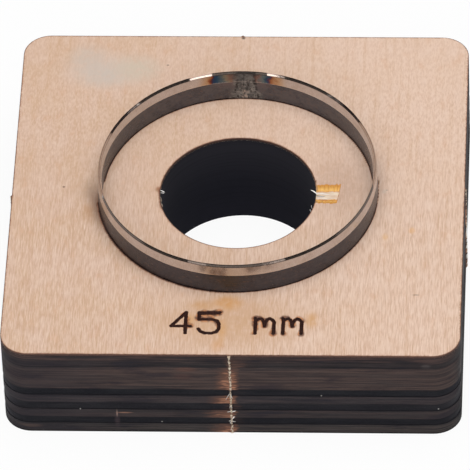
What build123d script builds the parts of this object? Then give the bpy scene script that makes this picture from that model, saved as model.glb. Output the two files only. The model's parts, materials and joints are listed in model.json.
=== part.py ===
"""Circular cutting die: a round steel rule standing in a block of laser-cut die board.

The block is plywood with crossed plies, cut to a square with rounded corners. A narrow kerf holds
the rule, two bridges of uncut wood carry the disc inside it, and a hole in the middle lets the cut
piece be pushed out. The rule is one bevelled strip, bent to a circle and welded end to end.

Units are millimetres. The origin is on the rule's axis, on the underside of the block, +Z is up and
the weld is at +Y. The front of the block, with its size mark, faces -Y.
"""

import os

from build123d import *

# Board, and the thickness of each of its plies from the top down
board_side = 74.0
corner_radius = 4.5
face_veneer_thickness = 0.5
core_ply_1_thickness = 2.4
core_ply_2_thickness = 5.1
core_ply_3_thickness = 1.4
core_ply_4_thickness = 1.8
core_ply_5_thickness = 1.5
core_ply_6_thickness = 1.8
core_ply_7_thickness = 1.4
back_ply_thickness = 2.0

# The laser burned the plies that show end grain at the front a little further back
end_grain_burn_back = 0.1

# Push-out hole through the middle
hole_diameter = 25.5

# Snap-off nicks, one a side, where the block was broken out of its sheet
nick_width = 0.7
nick_height = 0.25
nick_root = 1.0
front_nick_offset = 0.0
right_nick_offset = 1.2
back_nick_offset = -0.7
left_nick_offset = -1.2

# Chip torn out of the face veneer beside the hole
chip_length = 4.0
chip_end_skew = 0.6
chip_width = 4.4
chip_offset = -0.15
chip_slope = 1.1

# Cutting rule
cut_diameter = 45.0
rule_height = 23.8
rule_thickness = 0.71
ground_thickness = 0.45
flank_height = 1.7
tip_height = 0.45

# Butt weld that closes the ring: a low crown on both faces
weld_width_at_board = 4.4
weld_width_at_flank = 2.6
weld_crown = 0.05

# Fit of the rule in the board
kerf_clearance = 0.02
bridge_width = 5.0
notch_side_clearance = 0.25
notch_top_clearance = 0.25

# Every ply from the top down, as its name, thickness and burn-back
plies = (
    ("face_veneer", face_veneer_thickness, 0),
    ("core_ply_1", core_ply_1_thickness, 0),
    ("core_ply_2", core_ply_2_thickness, 0),
    ("core_ply_3", core_ply_3_thickness, end_grain_burn_back),
    ("core_ply_4", core_ply_4_thickness, 0),
    ("core_ply_5", core_ply_5_thickness, end_grain_burn_back),
    ("core_ply_6", core_ply_6_thickness, 0),
    ("core_ply_7", core_ply_7_thickness, end_grain_burn_back),
    ("back_ply", back_ply_thickness, 0),
)

# Worked out from the values above
board_thickness = sum(thickness for _, thickness, _ in plies)
half_side = board_side / 2
hole_radius = hole_diameter / 2
cut_radius = cut_diameter / 2
rule_inner_radius = cut_radius - rule_thickness / 2
rule_outer_radius = cut_radius + rule_thickness / 2
kerf_inner_radius = rule_inner_radius - kerf_clearance
kerf_outer_radius = rule_outer_radius + kerf_clearance
tip_z = rule_height - tip_height
flank_z = tip_z - flank_height


def nick_stubs(side):
    """The four small ridges left where the nicks snapped, as plan shapes on a square of this side."""
    # Quarter turns take the front nick round to the right, back and left. On the last two the
    # offset, which is along +X or +Y, runs the other way.
    turned_offsets = (front_nick_offset, right_nick_offset, -back_nick_offset, -left_nick_offset)
    root_y = nick_root - side / 2
    tip_y = -half_side - nick_height
    stubs = Sketch()
    for quarter, middle in enumerate(turned_offsets):
        left_x = middle - nick_width / 2
        right_x = middle + nick_width / 2
        ridge = Polygon((left_x, root_y), (left_x, -side / 2), (middle, tip_y),
                        (right_x, -side / 2), (right_x, root_y), align=None)
        stubs += Rot(0, 0, 90 * quarter) * ridge
    return stubs


def kerf_plan():
    """The ring-shaped kerf, less the two bridges that cross it."""
    ring = Circle(kerf_outer_radius) - Circle(kerf_inner_radius)
    return ring - Rectangle(board_side, bridge_width)


def make_ply(thickness, burn_back):
    """One ply with its underside at z 0."""
    side = board_side - 2 * burn_back
    plan = RectangleRounded(side, side, corner_radius - burn_back)
    plan += nick_stubs(side)
    plan -= kerf_plan()
    plan -= Circle(hole_radius)
    return extrude(plan, amount=thickness)


def chip_cutter(thickness):
    """The torn-out chip: a shallow trough across the veneer, open to the hole."""
    inner_x = hole_radius / 2
    end_x = hole_radius + chip_length
    back_y = chip_offset + chip_width / 2
    front_y = chip_offset - chip_width / 2
    mouth = Polygon((inner_x, front_y), (end_x - chip_end_skew, front_y),
                    (end_x, back_y), (inner_x, back_y), align=None)
    floor = Polygon((inner_x, front_y + chip_slope), (end_x - chip_end_skew, front_y + chip_slope),
                    (end_x, back_y - chip_slope), (inner_x, back_y - chip_slope), align=None)
    return loft([floor, Pos(0, 0, thickness) * mouth], ruled=True)


def rule_profile():
    """Section of the rule on the XZ plane: straight body, ground flanks and sharp bevel."""
    half_body = rule_thickness / 2
    half_ground = ground_thickness / 2
    outer_side = [(half_body, 0), (half_body, flank_z), (half_ground, tip_z)]
    inner_side = [(-x, z) for x, z in reversed(outer_side)]
    points = outer_side + [(0, rule_height)] + inner_side
    outline = Polyline(*[(cut_radius + x, z) for x, z in points], close=True)
    return Plane.XZ * make_face(outline)


def weld_bead():
    """The dressed weld, which narrows from the board up to the ground flanks."""
    depth = rule_thickness / 2 + weld_crown
    foot = Ellipse(weld_width_at_board / 2, depth)
    top = Ellipse(weld_width_at_flank / 2, depth)
    foot_z = board_thickness + notch_top_clearance
    bead = loft([Pos(0, 0, foot_z) * foot, Pos(0, 0, flank_z) * top], ruled=True)
    return Pos(0, cut_radius, 0) * bead


def make_rule():
    """The rule as a closed ring, with a notch over each bridge."""
    ring = revolve(rule_profile(), axis=Axis.Z)
    notch_height = board_thickness + notch_top_clearance
    notch = Box(board_side, bridge_width + 2 * notch_side_clearance, notch_height,
                align=(Align.CENTER, Align.CENTER, Align.MIN))
    return ring + weld_bead() - notch


def make_parts():
    """Every node of the die by name, each in its place."""
    parts = {}
    top_z = board_thickness
    for name, thickness, burn_back in plies:
        ply = make_ply(thickness, burn_back)
        if name == "face_veneer":
            ply -= chip_cutter(thickness)
        parts[name] = Pos(0, 0, top_z - thickness) * ply
        top_z -= thickness
    parts["cutting_rule"] = make_rule()
    return parts


os.makedirs("parts", exist_ok=True)
for node_name, shape in make_parts().items():
    export_step(shape, f"parts/{node_name}.step")
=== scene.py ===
"""Looks of the circular cutting die: pale veneer, charred edges, ground and heat-tinted steel.

Object coordinates are metres in the die's own frame. Sizes below are in millimetres where no comment
says otherwise, and MM turns them into metres. The front of the block faces -Y and the weld of the
rule is at +Y.
"""

import json
import math
import random

import bmesh
import bpy
import numpy as np
from mathutils import Matrix, Vector
from mathutils.geometry import delaunay_2d_cdt


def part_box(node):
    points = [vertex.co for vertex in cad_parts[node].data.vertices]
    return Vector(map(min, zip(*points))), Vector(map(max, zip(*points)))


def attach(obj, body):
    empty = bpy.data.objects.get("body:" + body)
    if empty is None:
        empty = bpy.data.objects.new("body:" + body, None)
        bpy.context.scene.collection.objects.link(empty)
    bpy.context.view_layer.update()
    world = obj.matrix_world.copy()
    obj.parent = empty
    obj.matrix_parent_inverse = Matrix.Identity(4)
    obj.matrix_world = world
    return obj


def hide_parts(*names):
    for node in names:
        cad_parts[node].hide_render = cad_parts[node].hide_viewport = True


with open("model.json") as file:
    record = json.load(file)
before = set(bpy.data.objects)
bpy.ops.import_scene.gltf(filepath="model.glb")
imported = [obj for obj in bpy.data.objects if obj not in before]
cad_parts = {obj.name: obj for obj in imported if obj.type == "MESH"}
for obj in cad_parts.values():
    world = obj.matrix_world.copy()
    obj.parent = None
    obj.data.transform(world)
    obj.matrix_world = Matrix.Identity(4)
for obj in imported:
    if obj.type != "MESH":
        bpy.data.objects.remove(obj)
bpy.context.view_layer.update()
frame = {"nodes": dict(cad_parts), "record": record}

MM = 0.001
BODY = "root"

# Sizes that come from the frame, in millimetres
TOP_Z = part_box("face_veneer")[1].z / MM
VENEER_FLOOR_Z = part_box("face_veneer")[0].z / MM
RULE_TOP_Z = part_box("cutting_rule")[1].z / MM
RULE_OUTER_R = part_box("cutting_rule")[1].x / MM
HOLE_R = frame["record"]["mounts"][0]["dims"]["r_mm"]

# Board outline
NICK_HEIGHT = 0.25
NICK_WIDTH = 0.7
HALF_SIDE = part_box("face_veneer")[1].x / MM - NICK_HEIGHT
CORNER_R = 4.5
NICKS = {"front": 0.0, "right": 1.2, "back": -0.7, "left": -1.2}

# The nicks' places after quarter turns from the right, where those at the back and left run the
# other way
TURNED_NICKS = (NICKS["right"], -NICKS["back"], -NICKS["left"], NICKS["front"])

# Cutting rule and its kerf
RULE_THICKNESS = 0.71
GROUND_THICKNESS = 0.45
FLANK_HEIGHT = 1.7
TIP_HEIGHT = 0.45
KERF_CLEARANCE = 0.02
BRIDGE_WIDTH = 5.0
NOTCH_CLEARANCE = 0.25
NOTCH_HALF_WIDTH = BRIDGE_WIDTH / 2 + NOTCH_CLEARANCE
RULE_R = RULE_OUTER_R - RULE_THICKNESS / 2
TIP_Z = RULE_TOP_Z - TIP_HEIGHT
FLANK_Z = TIP_Z - FLANK_HEIGHT
KERF_INNER_R = RULE_R - RULE_THICKNESS / 2 - KERF_CLEARANCE
KERF_OUTER_R = RULE_OUTER_R + KERF_CLEARANCE

# Weld: its size, how far from its middle it is shaped and the rule's mesh is fine, and how far off
# centre its colour lies
WELD_WIDTH_AT_BOARD = 4.4
WELD_WIDTH_AT_FLANK = 2.6
WELD_CROWN = 0.05
WELD_REACH = 3.0
FINE_REACH = 3.2
WELD_SHIFT = 0.45

# Chip torn out of the veneer at the right of the hole
CHIP_END_X = HOLE_R + 4.0
CHIP_END_SKEW = 0.6
CHIP_BACK_Y = 2.05
CHIP_FRONT_Y = -2.35
CHIP_SLOPE = 1.1
CHIP_END_SLOPE = 0.12

# Spacing of the veneer's points: on the open board, at the mark, in the chip, over the right bridge,
# along the outline and along the cuts
BOARD_STEP = 1.3
MARK_STEP = 0.09
CHIP_STEP = 0.07
BRIDGE_STEP = 0.11
OUTLINE_STEP = 1.2
CUT_STEP = 0.45

# Spacing of the burn dots over the right bridge
DOT_PITCH = 0.78

# Burned size mark: stroke, place and letter sizes, and where smoke settled beside it
STROKE_HALF_WIDTH = 0.285
STROKE_DEPTH = 0.2
MARK_BASE_Y = -32.1
DIGIT_HEIGHT = 4.65
LETTER_HEIGHT = 3.45
SMOKY_PLACES = ((4.3, -28.6), (8.8, -28.6), (6.9, -32.1), (11.3, -32.4), (5.5, -30.2), (9.9, -30.2),
                (-6.5, -30.3), (-5.7, -28.7), (-3.2, -28.1), (-2.0, -27.3))

# Camera: where it stands from the die's front and how far it rolls, in degrees, and its lens
CAMERA_AZIMUTH = 4.1611
CAMERA_ELEVATION = 44.908
CAMERA_ROLL = -2.5759
CAMERA_DISTANCE = 1340.27
CAMERA_TARGET = (-0.7652, -0.8863, 9.0)
CAMERA_LENS = 625.99
SENSOR_WIDTH = 36.0

# How bright the world is for the die, and how much of what the camera sees of the floor is plain
# white, not lit paper
WORLD_STRENGTH = 0.38
FLOOR_LIFT = 0.92

# Half the floor's side, and how far it lies below the block, in metres
FLOOR_HALF_SIDE = 3.0
FLOOR_DROP = 0.00002

# Lamps: place and size in metres, and watts
LAMPS = {
    "key": ((0.08, -0.12, 1.35), 1.2, 11.9),
    "fill": ((-0.1, -1.25, 0.8), 0.9, 3.1),
}

# Studio cards, each with two rims: their distances in metres, the two directions they run between
# in degrees from the front, their heights in metres and their brightness
CARDS = {
    "front_dark_card": ((1.3, 1.3), (-34, 34), (0.001, 0.36), (0.23, 0.2)),
    "round_dark_card": ((1.3, 1.3), (34, 326), (0.001, 0.36), (0.08, 0.05)),
    "grey_card": ((0.09, 1.29), (-180, 180), (0.001, 0.002), (0.3, 0.16)),
    "left_dim_card": ((1.2, 1.2), (-34, -21), (0.128, 0.178), (0.5, 0.55)),
    "right_dim_card": ((1.2, 1.2), (24, 35), (0.128, 0.178), (0.5, 0.55)),
    "left_light_card": ((1.2, 1.2), (-35, -21), (0.186, 0.26), (2.6, 2.6)),
    "right_light_card": ((1.2, 1.2), (19.5, 36), (0.186, 0.26), (2.6, 2.6)),
}
CARD_STEPS = 24
CARD_COLOUR = (1, 0.86, 0.78, 1)

# Points of a mesh closer together than this are one, in millimetres
SAME_POINT = 1e-5

rng = random.Random(45)


# Numbers and fields

def smooth(low, high, value):
    """0 below low, 1 above high, and an S-shaped rise between them."""
    t = np.clip((value - low) / (high - low), 0.0, 1.0)
    return t * t * (3 - 2 * t)


def lattice(ix, iy, seed):
    """A repeatable random value from 0 to 1 for each whole-number place."""
    h = np.sin(ix * 127.1 + iy * 311.7 + seed * 74.7) * 43758.5453
    return h - np.floor(h)


def value_noise(x, y, seed=0):
    """Smooth noise from 0 to 1 with a cell of one unit."""
    ix, iy = np.floor(x), np.floor(y)
    fx, fy = smooth(0, 1, x - ix), smooth(0, 1, y - iy)
    low = lattice(ix, iy, seed) * (1 - fx) + lattice(ix + 1, iy, seed) * fx
    high = lattice(ix, iy + 1, seed) * (1 - fx) + lattice(ix + 1, iy + 1, seed) * fx
    return low * (1 - fy) + high * fy


def board_distance(x, y):
    """Signed distance to the rounded square outline, negative inside."""
    qx = np.abs(x) - (HALF_SIDE - CORNER_R)
    qy = np.abs(y) - (HALF_SIDE - CORNER_R)
    outside = np.hypot(np.maximum(qx, 0), np.maximum(qy, 0))
    return outside + np.minimum(np.maximum(qx, qy), 0) - CORNER_R


# Size mark

# Each character's strokes, from its lower left corner
FOUR = (((2.33, 0), (2.33, DIGIT_HEIGHT), (0, 1.55), (3.1, 1.55)),)
FIVE = (
    ((0, DIGIT_HEIGHT - 0.05), (3.3, DIGIT_HEIGHT + 0.05)),
    ((0.2, DIGIT_HEIGHT - 0.3), (3.15, DIGIT_HEIGHT - 0.2)),
    ((0, DIGIT_HEIGHT), (0, 3.1), (2.15, 3.1), (2.95, 2.75), (3.25, 2.1), (3.25, 0.95), (2.9, 0.3),
     (2.2, 0), (1.05, 0), (0.35, 0.35), (0, 0.95)),
)
LETTER_M = (
    ((0, 0), (0, LETTER_HEIGHT - 0.3)),
    ((-0.1, LETTER_HEIGHT), (0.1, 2.9), (0.4, 3.2), (0.77, 3.36), (1.1, 3.1), (1.36, 2.4), (1.45, 1.6)),
    ((1.45, 1.6), (1.58, 2.5), (1.86, 3.1), (2.24, 3.38), (2.66, 3.1), (2.98, 2.6), (2.95, 0)),
)

# The mark's characters, each with its left side's x
MARK = ((-9.58, FOUR), (-5.14, FIVE), (4.0, LETTER_M), (8.46, LETTER_M))


def mark_distance(x, y):
    """Distance from each point to the nearest stroke of the mark."""
    nearest = np.full(np.shape(x), 1e9)
    for left_x, strokes in MARK:
        for stroke in strokes:
            placed = [(left_x + stroke_x, MARK_BASE_Y + stroke_y) for stroke_x, stroke_y in stroke]
            for (ax, ay), (bx, by) in zip(placed, placed[1:]):
                dx, dy = bx - ax, by - ay
                t = np.clip(((x - ax) * dx + (y - ay) * dy) / (dx * dx + dy * dy), 0, 1)
                nearest = np.minimum(nearest, np.hypot(x - ax - t * dx, y - ay - t * dy))
    return nearest


# Chip

def fibre_step(x, seed, width, reach):
    """How far each bundle of fibres broke off, in steps across the chip."""
    bundle = np.floor(x / width)
    return (lattice(bundle, 0 * bundle, seed) - 0.5) * reach


def chip_edges(x):
    """The y of the chip's back lip, back foot, front foot and front lip at each x."""
    back_lip = CHIP_BACK_Y + fibre_step(x, 1, 0.27, 0.3) + fibre_step(x, 2, 0.11, 0.12)
    back_foot = CHIP_BACK_Y - CHIP_SLOPE + fibre_step(x, 3, 0.33, 0.2)
    front_foot = CHIP_FRONT_Y + CHIP_SLOPE + fibre_step(x, 4, 0.3, 0.2)
    front_lip = CHIP_FRONT_Y + fibre_step(x, 5, 0.24, 0.3) + fibre_step(x, 6, 0.1, 0.12)
    return back_lip, back_foot, front_foot, front_lip


def chip_end(y):
    """The x of the chip's closed end, which is skewed, at each y."""
    share = (y - CHIP_FRONT_Y) / (CHIP_BACK_Y - CHIP_FRONT_Y)
    return CHIP_END_X - CHIP_END_SKEW * (1 - np.clip(share, 0, 1)) + fibre_step(y, 7, 0.5, 0.06)


def chip_depth(x, y):
    """Depth of the tear below the veneer's face, from 0 to 1 of its thickness."""
    back_lip, back_foot, front_foot, front_lip = chip_edges(x)
    back = (back_lip - y) / (back_lip - back_foot)
    front = (y - front_lip) / (front_foot - front_lip)
    end = (chip_end(y) - x) / CHIP_END_SLOPE
    depth = np.clip(np.minimum(np.minimum(back, front), end), 0, 1)
    return np.where(x > 0, depth, 0)


# Face veneer: outline loops, points, heights and burn fields

def arc(radius, start, end, step, centre=(0, 0)):
    """Points along an arc, both ends included, about step apart."""
    count = max(2, int(abs(end - start) * radius / step) + 1)
    return [(centre[0] + radius * math.cos(a), centre[1] + radius * math.sin(a))
            for a in np.linspace(start, end, count)]


def board_outline(step):
    """The board's outline with its four nick ridges, anticlockwise from the front right corner."""
    inner = HALF_SIDE - CORNER_R
    run = np.linspace(-inner, inner, int(2 * inner / step))[1:-1]
    loop = []
    for quarter, middle in enumerate(TURNED_NICKS):
        corner = arc(CORNER_R, -math.pi / 2, 0, step / 2, (inner, -inner))
        side = [(HALF_SIDE, y) for y in run if abs(y - middle) > NICK_WIDTH]
        side += [(HALF_SIDE, middle - NICK_WIDTH / 2), (HALF_SIDE + NICK_HEIGHT, middle),
                 (HALF_SIDE, middle + NICK_WIDTH / 2)]
        turn = Matrix.Rotation(math.pi / 2 * quarter, 2)
        loop += [tuple(turn @ Vector(p)) for p in corner + sorted(side, key=lambda p: p[1])]
    return loop


def hole_outline(step):
    """The hole, with the chip's floor opening out of it at the right."""
    xs = np.arange(HOLE_R, CHIP_END_X, 0.08)
    _, back_foot, front_foot, _ = chip_edges(xs)
    loop = arc(HOLE_R, math.asin(back_foot[0] / HOLE_R),
               2 * math.pi + math.asin(front_foot[0] / HOLE_R), step)
    front, back = [[(x, y) for x, y in zip(xs, foot) if x < chip_end(y) - CHIP_END_SLOPE]
                   for foot in (front_foot, back_foot)]
    wall_y = np.arange(front[-1][1] + 0.08, back[-1][1] - 0.04, 0.12)
    wall = [(float(chip_end(y)) - CHIP_END_SLOPE, y) for y in wall_y]
    return loop + front + wall + back[::-1]


def kerf_outlines(step):
    """The two half-ring slots."""
    outer_start = math.asin(BRIDGE_WIDTH / 2 / KERF_OUTER_R)
    inner_start = math.asin(BRIDGE_WIDTH / 2 / KERF_INNER_R)
    loops = []
    for turn in (0, math.pi):
        outer = arc(KERF_OUTER_R, turn + outer_start, turn + math.pi - outer_start, step)
        inner = arc(KERF_INNER_R, turn + math.pi - inner_start, turn + inner_start, step)
        loops.append(outer + inner)
    return loops


def inside(x, y, loops):
    """True for each point that lies within the outer loop and outside the others."""
    odd = np.zeros(np.shape(x), bool)
    for loop in loops:
        for (ax, ay), (bx, by) in zip(loop, loop[1:] + loop[:1]):
            if ay != by:
                crosses = (ay > y) != (by > y)
                odd ^= crosses & (x < ax + (y - ay) * (bx - ax) / (by - ay))
    return odd


def grid(x_range, y_range, step, jitter=0.4):
    """A jittered grid of points, so that no four lie on one circle."""
    xs, ys = np.meshgrid(np.arange(*x_range, step), np.arange(*y_range, step))
    shift_x = (lattice(xs / step, ys / step, 11) - 0.5) * jitter * step
    shift_y = (lattice(xs / step, ys / step, 12) - 0.5) * jitter * step
    return (xs + shift_x).ravel(), (ys + shift_y).ravel()


def ring_points(radius, step):
    """Points round a circle, as two arrays."""
    angles = np.linspace(0, 2 * math.pi, int(2 * math.pi * radius / step), endpoint=False)
    return radius * np.cos(angles), radius * np.sin(angles)


def veneer_points(loops):
    """Points inside the veneer: close together at the mark, the chip and the burned rims."""
    sets = []
    board = (-HALF_SIDE + 1, HALF_SIDE)
    x, y = grid(board, board, BOARD_STEP, 0.5)
    sets.append((x, y, (mark_distance(x, y) > 1.1) & (board_distance(x, y) < -0.9)))
    mark_box = (-10.8, 13), (MARK_BASE_Y - 1.2, MARK_BASE_Y + DIGIT_HEIGHT + 1.2)
    x, y = grid(*mark_box, MARK_STEP)
    sets.append((x, y, mark_distance(x, y) < 0.62))
    x, y = grid(*mark_box, 0.3)
    sets.append((x, y, (mark_distance(x, y) >= 0.66) & (mark_distance(x, y) < 1.3)))
    chip_x = (HOLE_R - 0.5, CHIP_END_X + 0.35)
    chip_y = (CHIP_FRONT_Y - 0.35, CHIP_BACK_Y + 0.35)
    x, y = grid(chip_x, chip_y, CHIP_STEP)
    sets.append((x, y, np.hypot(x, y) > HOLE_R + 0.04))
    rings = [KERF_OUTER_R + d for d in (0.07, 0.18, 0.4)] + [KERF_INNER_R - d for d in (0.07, 0.18, 0.4)]
    rings += [HOLE_R + d for d in (0.08, 0.2, 0.45)]
    for radius in rings:
        x, y = ring_points(radius, CUT_STEP)
        sets.append((x, y, ~((x > 0) & (np.abs(y) < 3) & (radius < HOLE_R + 1))))
    x, y = grid((KERF_OUTER_R - 0.6, KERF_OUTER_R + 0.6), (-3.4, 3.6), BRIDGE_STEP, 0.3)
    radius = np.hypot(x, y)
    sets.append((x, y, (np.abs(radius - KERF_OUTER_R) > 0.03) & (radius < KERF_OUTER_R + 0.45)))
    for inset in (0.08, 0.22, 0.5):
        rim = np.array(board_outline(0.6)) * (1 - inset / HALF_SIDE)
        sets.append((rim[:, 0], rim[:, 1], board_distance(rim[:, 0], rim[:, 1]) < -0.6 * inset))
    xs = np.concatenate([x[keep] for x, _, keep in sets])
    ys = np.concatenate([y[keep] for _, y, keep in sets])
    kept = inside(xs, ys, loops)
    return list(zip(xs[kept].tolist(), ys[kept].tolist()))


def mark_fields(x, y):
    """Groove depth, char and scorch of the size mark."""
    distance = mark_distance(x, y)
    edge = STROKE_HALF_WIDTH + (value_noise(x * 5, y * 5, 21) - 0.5) * 0.07
    uneven = 0.8 + 0.4 * value_noise(x * 7, y * 7, 22)
    groove = STROKE_DEPTH * uneven * (1 - smooth(0.25 * edge, edge, distance))
    char = 1 - smooth(edge - 0.07, edge + 0.09, distance)
    reach = 0.03 + 0.34 * smooth(0.45, 0.95, value_noise(x * 0.9, y * 0.9, 23))
    for smoke_x, smoke_y in SMOKY_PLACES:
        reach = reach + 0.5 * np.exp(-((x - smoke_x) ** 2 + (y - smoke_y) ** 2) / 0.5)
    scorch = np.exp(-np.maximum(distance - edge, 0) / reach) * (1 - smooth(0.7, 1.1, distance))
    return groove, char, scorch


def rim_burn(x, y):
    """Burn beside the laser cuts: the outline, the hole and the kerf, dotted over the right bridge."""
    r = np.hypot(x, y)
    ragged = 0.6 + 0.8 * value_noise(x * 2.2, y * 2.2, 31)
    outline = np.exp(np.minimum(board_distance(x, y), 0) / (0.11 * ragged))
    left_rim = (x < 0) * smooth(-4.5, -3.0, y) * smooth(1.6, 0.6, y)
    hole = np.exp(-np.maximum(r - HOLE_R, 0) / ((0.11 + 0.16 * left_rim) * ragged))
    to_kerf = np.minimum(np.abs(r - KERF_OUTER_R), np.abs(r - KERF_INNER_R))
    on_slot = smooth(BRIDGE_WIDTH / 2 - 0.15, BRIDGE_WIDTH / 2 + 0.05, np.abs(y))
    outer_left = (r > RULE_R) * smooth(2.0, -4.0, x) * smooth(0.0, -3.0, y)
    kerf = (1 + 0.5 * outer_left) * np.exp(-to_kerf / ((0.09 + 0.07 * outer_left) * ragged)) * on_slot
    dot_y = DOT_PITCH * np.round(y / DOT_PITCH)
    beside = np.exp(-(((r - KERF_OUTER_R + 0.02) / 0.13) ** 2))
    dot = beside * (0.4 + 0.9 * np.exp(-((y - dot_y) / 0.2) ** 2)) * (0.8 + 0.5 * lattice(dot_y, 0 * y, 33))
    dots = dot * (x > 0) * (np.abs(y - 0.4) < 3) * (1 - on_slot)
    return np.clip(np.maximum.reduce([outline, hole, kerf, dots]), 0, 1)


def veneer_height(x, y):
    """Height of the veneer's top face, with grooves, the tear and softened arrises."""
    groove, _, _ = mark_fields(x, y)
    tear = chip_depth(x, y)
    on_slope = (tear > 0.02) & (tear < 0.95)
    ragged = (value_noise(x * 9, y * 1.5, 41) - 0.5) * 0.1 * on_slope
    arris = 0.04 * np.exp(np.minimum(board_distance(x, y), 0) / 0.06)
    arris += 0.04 * np.exp(-np.maximum(np.hypot(x, y) - HOLE_R, 0) / 0.06)
    grain = 0.008 * (value_noise(x * 1.4, y * 0.12, 42) - 1)
    depth = groove + tear * (TOP_Z - VENEER_FLOOR_Z - 0.02) + arris
    return np.clip(TOP_Z - depth + ragged + grain, VENEER_FLOOR_Z + 0.015, TOP_Z)


def triangulate(loops, inner_points):
    """The flat points and triangles of the veneer, and the edges of its outlines, all of them kept."""
    points, edges = [], []
    for loop in loops:
        first = len(points)
        points += loop
        edges += [(first + i, first + (i + 1) % len(loop)) for i in range(len(loop))]
    points += inner_points
    flat_points, _, faces, _, _, _ = delaunay_2d_cdt([Vector(p) for p in points], edges, [], 0, 1e-7)
    flat = np.array([(p.x, p.y) for p in flat_points])
    triangles = np.array([list(f) for f in faces])
    middle = flat[triangles].mean(axis=1)
    return flat, triangles[inside(middle[:, 0], middle[:, 1], loops)], edges


def add_piece(name, vertices, faces, materials, sharp_angle=35, attributes=None):
    """A smooth-shaded mesh object on the body, from points in millimetres, with a value at each point
    for each attribute."""
    mesh = bpy.data.meshes.new(name)
    mesh.from_pydata((np.asarray(vertices) * MM).tolist(), [], [tuple(int(i) for i in f) for f in faces])
    bm = bmesh.new()
    bm.from_mesh(mesh)
    bmesh.ops.recalc_face_normals(bm, faces=bm.faces)
    bm.to_mesh(mesh)
    bm.free()
    for material in materials:
        mesh.materials.append(material)
    mesh.shade_smooth()
    mesh.set_sharp_from_angle(angle=math.radians(sharp_angle))
    for label, values in (attributes or {}).items():
        attribute = mesh.attributes.new(label, "FLOAT", "POINT")
        attribute.data.foreach_set("value", np.asarray(values, dtype=np.float32))
    piece = bpy.data.objects.new(name, mesh)
    bpy.context.scene.collection.objects.link(piece)
    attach(piece, BODY)
    return piece


def clean_mesh(piece):
    """Merge the points that coincide and delete those without a face."""
    bm = bmesh.new()
    bm.from_mesh(piece.data)
    bmesh.ops.remove_doubles(bm, verts=bm.verts, dist=SAME_POINT * MM)
    bmesh.ops.delete(bm, geom=[vertex for vertex in bm.verts if not vertex.link_faces], context="VERTS")
    bm.to_mesh(piece.data)
    bm.free()


def make_face_veneer(material):
    """The top ply: engraved, burned at the laser cuts and torn beside the hole."""
    loops = [board_outline(OUTLINE_STEP), hole_outline(CUT_STEP)] + kerf_outlines(CUT_STEP)
    top, top_faces, edges = triangulate(loops, veneer_points(loops))
    bottom, bottom_faces, _ = triangulate(loops, [])
    x, y = top[:, 0], top[:, 1]
    upper = np.column_stack([x, y, veneer_height(x, y)])
    lower = np.column_stack([bottom, np.full(len(bottom), VENEER_FLOOR_Z)])
    count = len(upper)
    faces = [*top_faces, *(bottom_faces[:, ::-1] + count)]
    faces += [(a, a + count, b + count, b) for a, b in edges]
    _, char, scorch = mark_fields(x, y)
    fields = {"char": (char, 0), "rim": (rim_burn(x, y), 1), "scorch": (scorch, 0),
              "tear": (smooth(0.0, 0.08, chip_depth(x, y)), 0)}
    attributes = {name: np.append(above, np.full(len(bottom), below))
                  for name, (above, below) in fields.items()}
    piece = add_piece("face_veneer_burned", np.vstack([upper, lower]), faces, [material],
                      attributes=attributes)
    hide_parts("face_veneer")


# Cutting rule

def weld_relief(x, z):
    """How far the weld stands proud of the rule at the back, with the file marks left on it."""
    share = np.clip((z - TOP_Z) / (FLANK_Z - TOP_Z), 0, 1)
    half_width = (WELD_WIDTH_AT_BOARD + (WELD_WIDTH_AT_FLANK - WELD_WIDTH_AT_BOARD) * share) / 2
    half = RULE_THICKNESS / 2
    crown = (half + WELD_CROWN) * np.sqrt(np.clip(1 - (x / half_width) ** 2, 0, 1)) - half
    crown = np.maximum(crown, 0) * (1 - smooth(FLANK_Z - 0.25, FLANK_Z, z))
    lumps = 0.03 * (value_noise(x * 5, z * 3.2, 51) - 0.4)
    lumps *= 1 - smooth(half_width * 0.7, half_width, np.abs(x))
    lumps = np.minimum(lumps, 0.02) * (1 - smooth(FLANK_Z - 0.2, FLANK_Z, z))
    return (crown * 0.9 + lumps) * (z > TOP_Z)


def rule_angles():
    """The angles of the ring's columns, closer together at the weld, with one at each notch side."""
    notch = math.asin(NOTCH_HALF_WIDTH / RULE_R)
    fine = FINE_REACH / RULE_R
    quarter = math.pi / 2
    stops = [-notch, notch, quarter - fine, quarter + fine, math.pi - notch, math.pi + notch,
             2 * math.pi - notch]
    counts = [10, 76, 80, 76, 10, 170]
    return np.concatenate([np.linspace(start, end, count, endpoint=False)
                           for start, end, count in zip(stops, stops[1:], counts)])


def on_notch_side(angle):
    """True for a column that stands at the side of a notch."""
    return abs(abs(math.sin(angle)) * RULE_R - NOTCH_HALF_WIDTH) < 1e-6


def rule_section():
    """The rule's section from the outer foot over the edge to the inner foot, as offset and height."""
    half, ground = RULE_THICKNESS / 2, GROUND_THICKNESS / 2
    notch_z = TOP_Z + NOTCH_CLEARANCE
    up = [(half, 0), (half, notch_z)]
    up += [(half, z) for z in np.linspace(notch_z, FLANK_Z, 13)[1:-1]]
    up += [(half, FLANK_Z), ((half + ground) / 2, (FLANK_Z + TIP_Z) / 2), (ground, TIP_Z)]
    return up + [(0, RULE_TOP_Z)] + [(-offset, z) for offset, z in reversed(up)]


def rule_point(angle, offset, z):
    """One point of the ring: level with its notch's side if it stands there, and raised at the weld."""
    radius = RULE_R + offset
    if on_notch_side(angle):
        turned = math.copysign(math.asin(NOTCH_HALF_WIDTH / radius), math.sin(angle))
        angle = turned if math.cos(angle) > 0 else math.pi - turned
    x, y = radius * math.cos(angle), radius * math.sin(angle)
    if y > 0 and abs(x) < WELD_REACH and offset:
        push = float(weld_relief(np.array(x), np.array(z))) * math.copysign(1, offset)
        x, y = x * (1 + push / radius), y * (1 + push / radius)
    return x, y, z


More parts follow.
